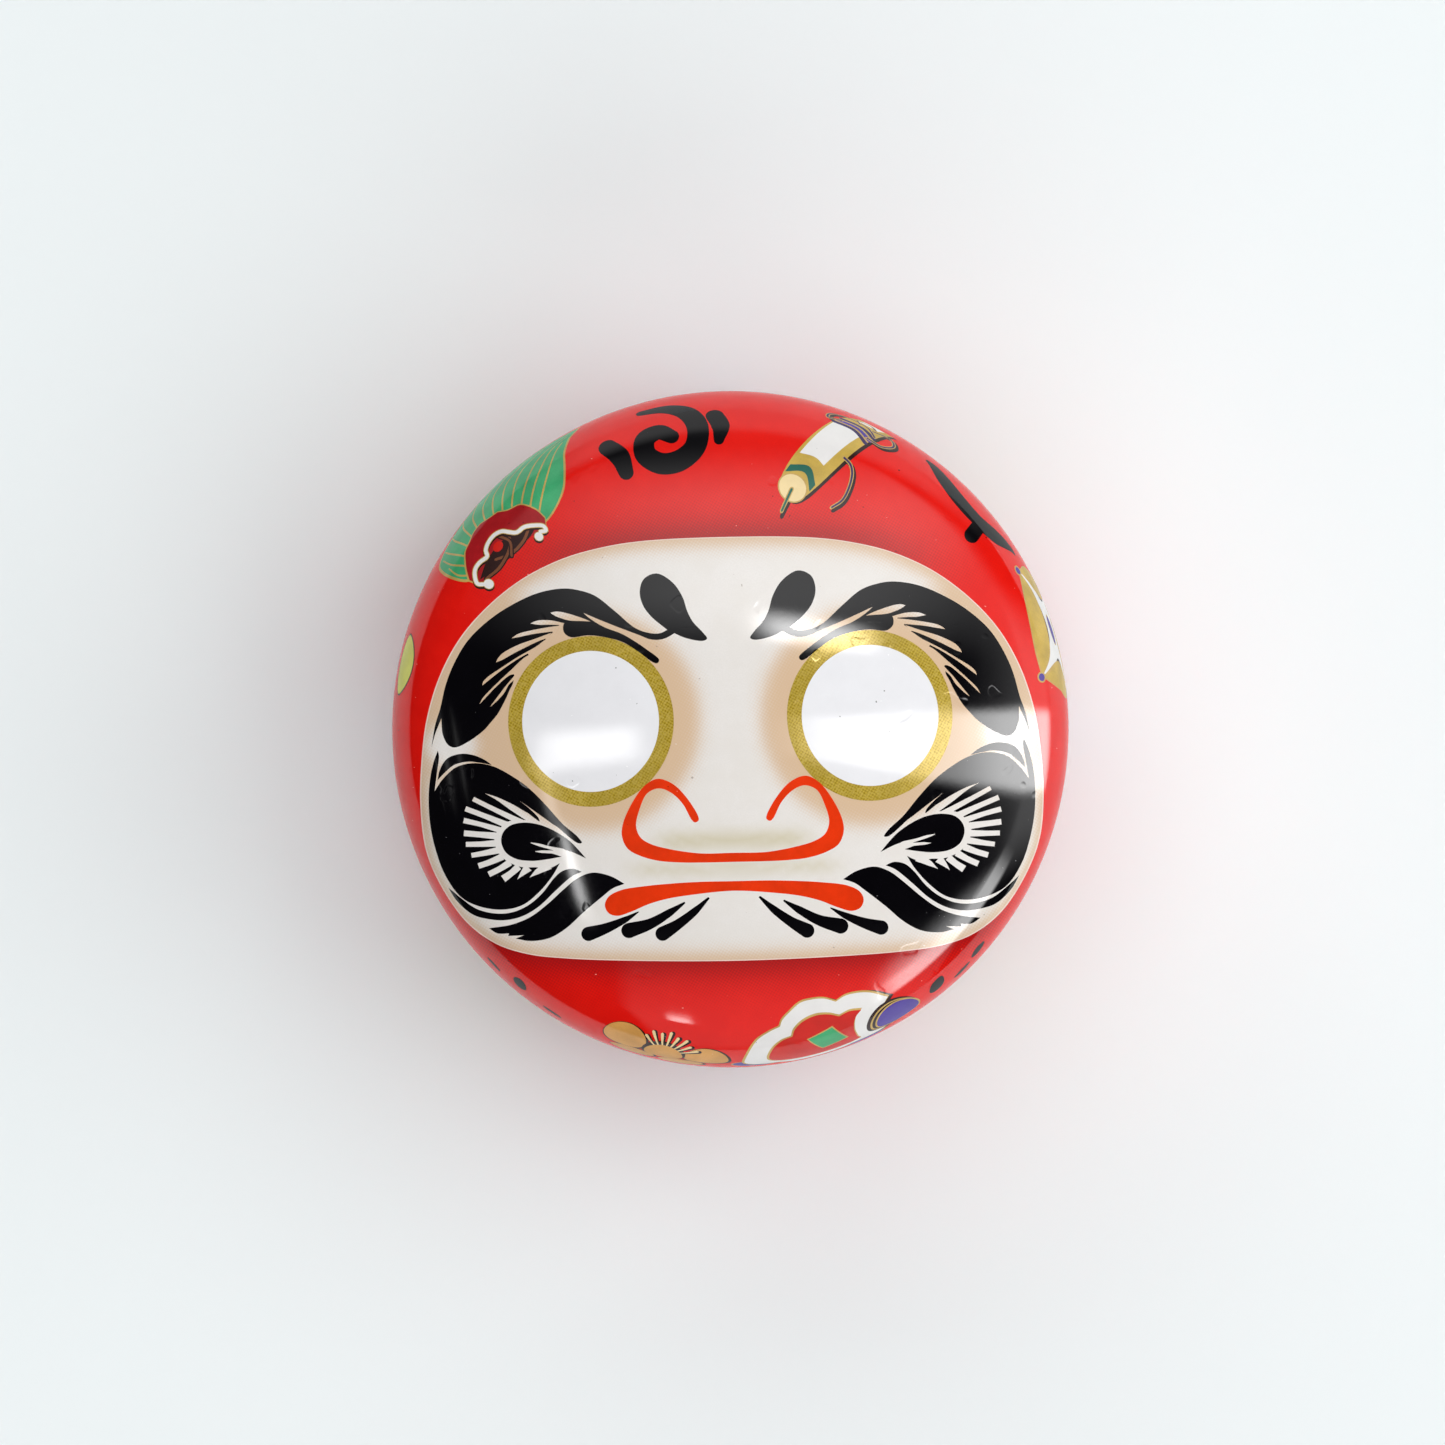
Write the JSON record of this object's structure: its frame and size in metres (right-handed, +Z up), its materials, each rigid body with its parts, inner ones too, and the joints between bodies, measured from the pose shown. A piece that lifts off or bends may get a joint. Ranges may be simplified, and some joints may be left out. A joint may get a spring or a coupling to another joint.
{
  "type": "round daruma tin",
  "caption": "Round printed tinplate daruma that lies on its back: a domed face lid slides over a neck ring held in a cup-shaped base with a flat foot.",
  "frame": {"origin": "centre of the base's flat foot ring, on the surface that the tin rests on", "axes": "+Z up out of the middle of the face, +Y towards the forehead, +X towards the viewer's right of the face"},
  "size_m": [0.065, 0.065, 0.0446],
  "materials": {
    "lid_print": "gloss varnish over printed tinplate",
    "base_print": "gloss varnish over printed tinplate",
    "bare_tinplate": "bright rolled tinplate"
  },
  "bodies": {
    "base": {"back_base": "base_print", "neck_ring": "bare_tinplate"},
    "lid": {"face_lid": "lid_print"}
  },
  "joints": [
    {"name": "lid_lift", "type": "slide", "parent": "base", "child": "lid", "axis": [0, 0, 1], "range_m": [0, 0.045]}
  ]
}
